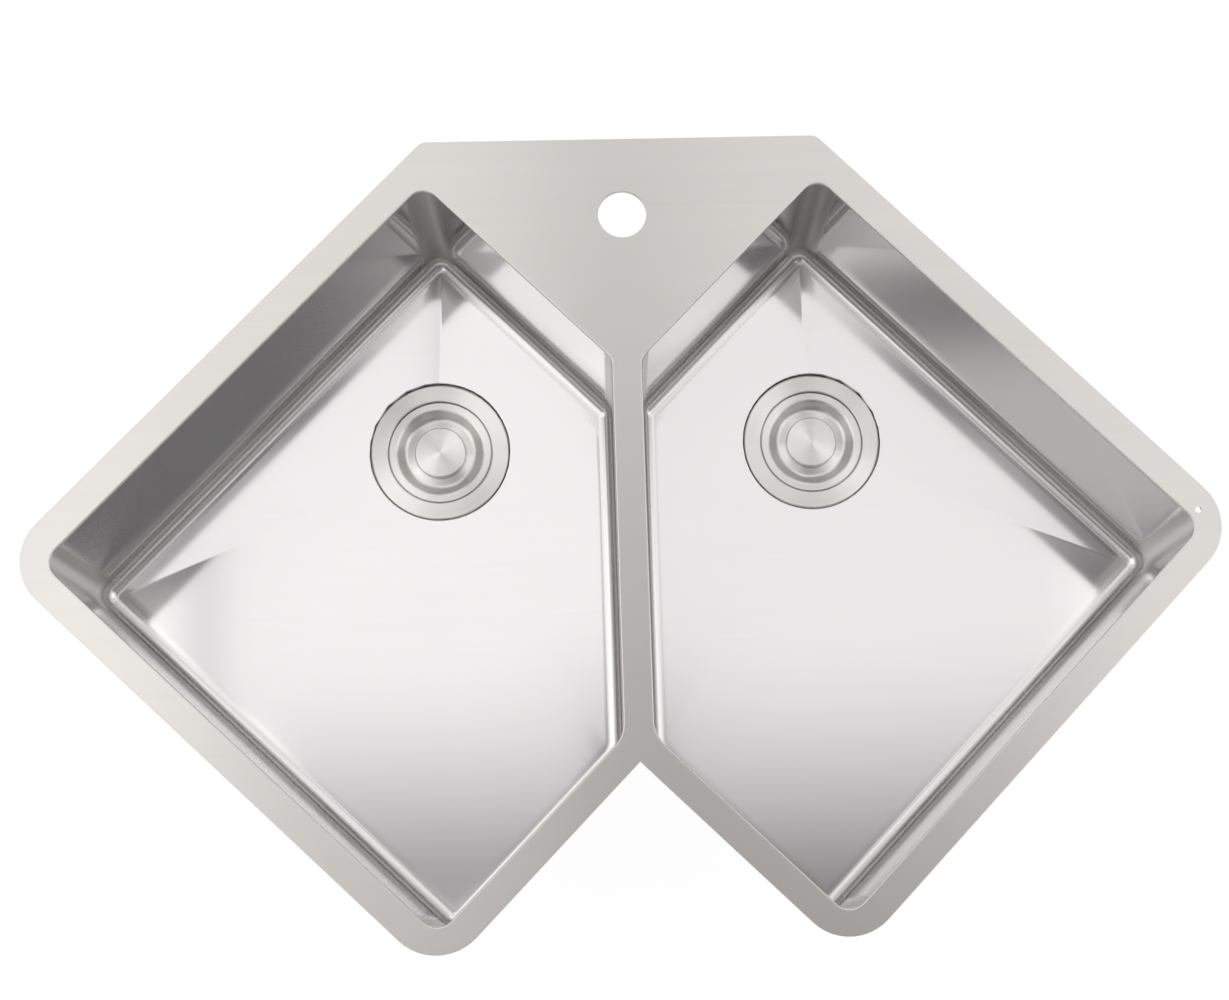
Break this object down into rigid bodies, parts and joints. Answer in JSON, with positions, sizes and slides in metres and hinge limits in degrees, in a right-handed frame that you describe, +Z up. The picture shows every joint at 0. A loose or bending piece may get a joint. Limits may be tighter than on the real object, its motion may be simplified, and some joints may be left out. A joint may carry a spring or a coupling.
{
  "type": "corner kitchen sink",
  "caption": "Corner kitchen sink: square bowls set at 45 degrees under one flat steel deck with a tap hole, each with a dished-lid basket strainer.",
  "frame": {"origin": "axis of the tap hole, at the underside of the deck where it rests on the worktop", "axes": "+X to the right along the deck, +Y towards the back corner, +Z up"},
  "size_m": [0.8994, 0.6133, 0.2795],
  "materials": {
    "deck_steel": "fine straight brushing along the deck",
    "bowl_steel": "satin brushed",
    "turned_steel": "satin, turned in circles",
    "pad_rubber": "matt sound-deadening rubber",
    "seal_rubber": "matt black rubber",
    "ring_fibre": "pressed fibre",
    "nut_plastic": "moulded plastic"
  },
  "bodies": {
    "sink": {"deck_plate": "deck_steel", "deck_stiffener": "deck_steel", "rim_seal": "seal_rubber", "left_bowl": "bowl_steel", "left_wall_pads": "pad_rubber", "left_floor_pads": "pad_rubber", "left_drain_body": "turned_steel", "left_flange_gasket": "seal_rubber", "left_under_washer": "seal_rubber", "left_friction_ring": "ring_fibre", "left_lock_nut": "nut_plastic", "left_coupling_nut": "nut_plastic", "left_tail_washer": "seal_rubber", "right_bowl": "bowl_steel", "right_wall_pads": "pad_rubber", "right_floor_pads": "pad_rubber", "right_drain_body": "turned_steel", "right_flange_gasket": "seal_rubber", "right_under_washer": "seal_rubber", "right_friction_ring": "ring_fibre", "right_lock_nut": "nut_plastic", "right_coupling_nut": "nut_plastic", "right_tail_washer": "seal_rubber"},
    "left_basket": {"left_basket": "turned_steel", "left_basket_post": "turned_steel", "left_basket_stopper": "seal_rubber"},
    "left_lid": {"left_lid": "turned_steel", "left_lid_knob": "turned_steel", "left_lid_seal": "seal_rubber"},
    "right_basket": {"right_basket": "turned_steel", "right_basket_post": "turned_steel", "right_basket_stopper": "seal_rubber"},
    "right_lid": {"right_lid": "turned_steel", "right_lid_knob": "turned_steel", "right_lid_seal": "seal_rubber"}
  },
  "joints": [
    {"name": "left_basket_lift", "type": "slide", "parent": "sink", "child": "left_basket", "axis": [0, 0, 1], "range_m": [0, 0.26]},
    {"name": "left_lid_lift", "type": "slide", "parent": "left_basket", "child": "left_lid", "axis": [0, 0, 1], "range_m": [0, 0.2]},
    {"name": "right_basket_lift", "type": "slide", "parent": "sink", "child": "right_basket", "axis": [0, 0, 1], "range_m": [0, 0.26]},
    {"name": "right_lid_lift", "type": "slide", "parent": "right_basket", "child": "right_lid", "axis": [0, 0, 1], "range_m": [0, 0.2]}
  ]
}
